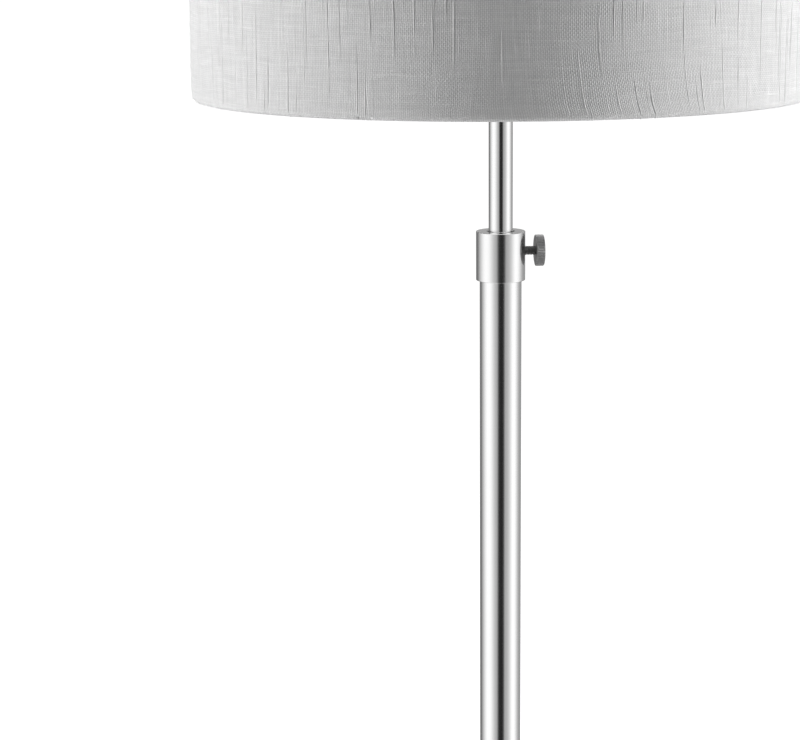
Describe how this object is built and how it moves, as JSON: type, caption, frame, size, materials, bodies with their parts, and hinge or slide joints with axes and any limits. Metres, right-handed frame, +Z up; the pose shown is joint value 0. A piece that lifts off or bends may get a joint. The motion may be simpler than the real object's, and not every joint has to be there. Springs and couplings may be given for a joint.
{
  "type": "telescopic floor lamp",
  "caption": "Floor lamp with a linen drum shade on a polished column that slides inside a thicker tube and is clamped by a knurled thumbscrew, on a round weighted base.",
  "frame": {"origin": "centre of the base's underside, on the floor", "axes": "+Z up along the column, +X towards the thumbscrew, -Y towards the viewer, +Y towards the cable inlet at the rear"},
  "size_m": [0.403, 0.403, 1.2395],
  "materials": {
    "polished_tube": "mirror polished plating",
    "knob_metal": "knurled, satin",
    "stud_steel": "dark threaded steel",
    "cast_iron": "rough casting",
    "black_rubber": "matt",
    "zinc_steel": "zinc plated",
    "bush_plastic": "black acetal",
    "holder_plastic": "moulded, satin",
    "white_ceramic": "unglazed",
    "contact_brass": "bright",
    "opal_glass": "opal, satin",
    "cap_metal": "bright rolled",
    "cap_insulator": "black, glossy",
    "white_wire": "powder coated",
    "shade_lining": "translucent white",
    "shade_linen": "slub linen weave"
  },
  "bodies": {
    "stand": {"base_cover": "polished_tube", "base_weight": "cast_iron", "base_pad": "black_rubber", "cable_grommet": "black_rubber", "foot_plug": "zinc_steel", "foot_nipple": "zinc_steel", "foot_washer": "zinc_steel", "foot_nut": "zinc_steel", "outer_tube": "polished_tube", "clamp_collar": "polished_tube", "collar_liner": "bush_plastic"},
    "guide": {"guide_bush": "bush_plastic"},
    "mast": {"inner_tube": "polished_tube", "retaining_rings": "zinc_steel", "tube_top_bush": "zinc_steel", "holder_nipple": "zinc_steel", "holder_dome": "holder_plastic", "holder_body": "holder_plastic", "holder_core": "white_ceramic", "screw_shell": "contact_brass", "centre_contact": "contact_brass", "terminal_screws": "contact_brass", "lower_shade_ring": "holder_plastic", "upper_shade_ring": "holder_plastic", "shade_spider": "white_wire", "shade_top_ring": "white_wire", "shade_lining": "shade_lining", "shade_fabric": "shade_linen"},
    "pad": {"clamp_pad": "bush_plastic"},
    "thumbscrew": {"thumbscrew_stud": "stud_steel", "thumbscrew_knob": "knob_metal"},
    "bulb": {"bulb_contact": "cap_metal", "bulb_insulator": "cap_insulator", "bulb_cap": "cap_metal", "bulb_glass": "opal_glass"}
  },
  "joints": [
    {"name": "mast_slide", "type": "slide", "parent": "stand", "child": "guide", "axis": [0, 0, 1], "range_m": [-0.085, 0.375]},
    {"name": "mast_swivel", "type": "hinge", "parent": "guide", "child": "mast", "pos_m": [0, 0, 0.455], "axis": [0, 0, 1], "range_deg": [-180, 180]},
    {"name": "pad_slide", "type": "slide", "parent": "stand", "child": "pad", "axis": [1, 0, 0], "range_m": [0, 0.002]},
    {"name": "thumbscrew_turn", "type": "hinge", "parent": "pad", "child": "thumbscrew", "pos_m": [0, 0, 0.8866], "axis": [1, 0, 0], "range_deg": [0, 720]},
    {"name": "bulb_turn", "type": "hinge", "parent": "mast", "child": "bulb", "pos_m": [0, 0, 1.05], "axis": [0, 0, 1], "range_deg": [0, 1440]}
  ],
  "couplings": [
    {"joint": "thumbscrew_turn", "follows": "pad_slide", "rad_per_m": 6283.2}
  ]
}
